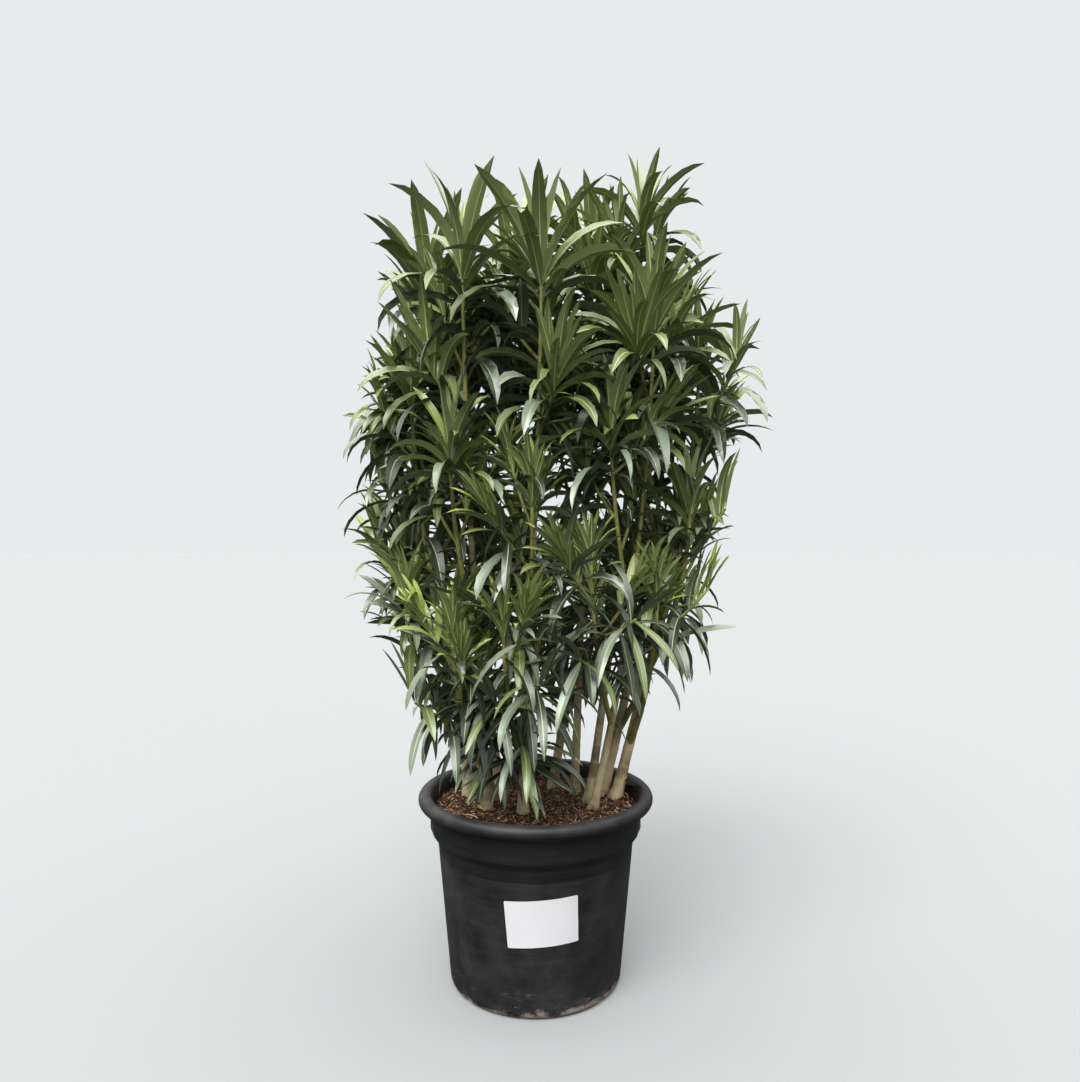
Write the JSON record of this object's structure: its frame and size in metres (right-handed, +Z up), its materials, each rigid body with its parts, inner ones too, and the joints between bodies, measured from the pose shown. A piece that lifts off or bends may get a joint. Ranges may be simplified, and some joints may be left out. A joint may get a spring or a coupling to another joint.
{
  "type": "potted oleander shrub",
  "caption": "Tall evergreen shrub of upright stems with long narrow leaves in whorls, growing in a round black nursery pot with a rolled rim.",
  "frame": {"origin": "centre of the pot's flat underside, on the ground", "axes": "+Z up along the pot's axis; -Y is the front, where the blank label is; +X to the right seen from the front"},
  "size_m": [0.9914, 0.8629, 1.7981],
  "materials": {
    "pot": "satin",
    "soil": "matte",
    "label": "satin",
    "stem_bark": "matte",
    "bough_bark": "matte",
    "leaf": "satin",
    "young_leaf": "satin"
  },
  "bodies": {
    "root": {"pot": "pot", "soil": "soil", "label": "label", "stem_back": "stem_bark", "stem_back_left": "stem_bark", "stem_back_right": "stem_bark", "stem_far_left": "stem_bark", "stem_left": "stem_bark", "stem_left_front": "stem_bark", "stem_middle": "stem_bark", "stem_right": "stem_bark", "stem_right_back": "stem_bark", "stem_right_front": "stem_bark", "stem_tall_middle": "stem_bark", "stem_tall_right": "stem_bark", "bough_back_middle": "bough_bark", "bough_low_back": "bough_bark", "bough_low_back_left": "bough_bark", "bough_low_back_right": "bough_bark", "bough_low_far_left": "bough_bark", "bough_low_left": "bough_bark", "bough_low_left_front": "bough_bark", "bough_low_middle": "bough_bark", "bough_low_right": "bough_bark", "bough_low_right_back": "bough_bark", "bough_low_right_front": "bough_bark", "bough_middle_front": "bough_bark", "bough_middle_left": "bough_bark", "bough_middle_left_front": "bough_bark", "bough_middle_right": "bough_bark", "bough_middle_right_front": "bough_bark", "leaves_back": "leaf", "leaves_back_left": "leaf", "leaves_back_middle": "leaf", "leaves_back_right": "leaf", "leaves_far_left": "leaf", "leaves_left": "leaf", "leaves_left_front": "leaf", "leaves_low_back": "leaf", "leaves_low_back_left": "leaf", "leaves_low_back_right": "leaf", "leaves_low_far_left": "leaf", "leaves_low_left": "leaf", "leaves_low_left_front": "young_leaf", "leaves_low_middle": "young_leaf", "leaves_low_right": "young_leaf", "leaves_low_right_back": "leaf", "leaves_low_right_front": "young_leaf", "leaves_middle": "leaf", "leaves_middle_front": "young_leaf", "leaves_middle_left": "leaf", "leaves_middle_left_front": "leaf", "leaves_middle_right": "leaf", "leaves_middle_right_front": "leaf", "leaves_right": "leaf", "leaves_right_back": "leaf", "leaves_right_front": "leaf", "leaves_tall_middle": "leaf", "leaves_tall_right": "leaf"}
  },
  "joints": []
}
